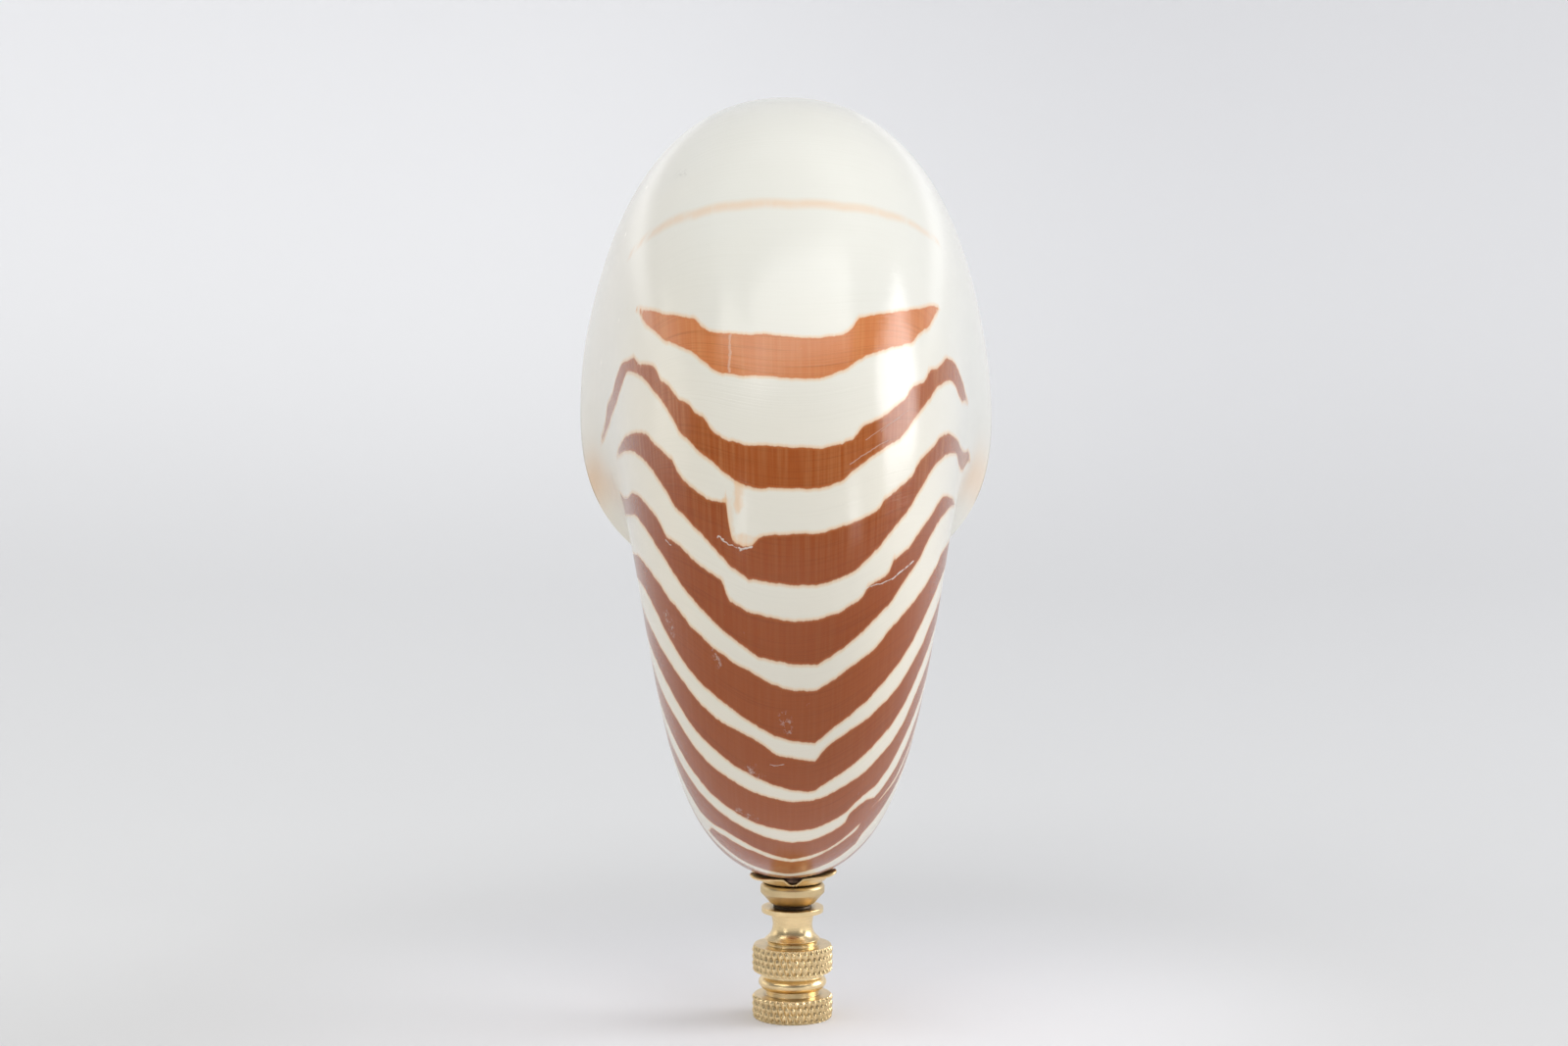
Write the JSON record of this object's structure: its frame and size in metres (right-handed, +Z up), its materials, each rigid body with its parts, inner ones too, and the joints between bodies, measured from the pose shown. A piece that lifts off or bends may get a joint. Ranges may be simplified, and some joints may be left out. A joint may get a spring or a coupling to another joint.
{
  "type": "lamp shade finial",
  "caption": "Lamp shade finial: a polished, striped nautilus shell standing upright in a petalled brass cup, on a turned brass base with knurled rings and a threaded socket below.",
  "frame": {"origin": "centre of the brass base's underside, on the axis of its threaded socket; this is also the middle of the whole object's footprint, within half a millimetre or so", "axes": "+Z up along the base's axis, the shell standing on it; +Y towards the shell's mouth, so that its striped back faces -Y; +X across the shell, at right angles to its plane of symmetry"},
  "size_m": [0.067, 0.0994, 0.1444],
  "materials": {
    "polished_shell": "gloss",
    "satin_brass": "satin",
    "dark_thread": "satin",
    "brown_cement": "satin"
  },
  "bodies": {
    "root": {"nautilus_shell": "polished_shell", "cement_bed": "brown_cement", "petal_cap": "satin_brass", "seat_collar": "satin_brass", "threaded_stud": "dark_thread", "knurled_base": "satin_brass"}
  },
  "joints": []
}
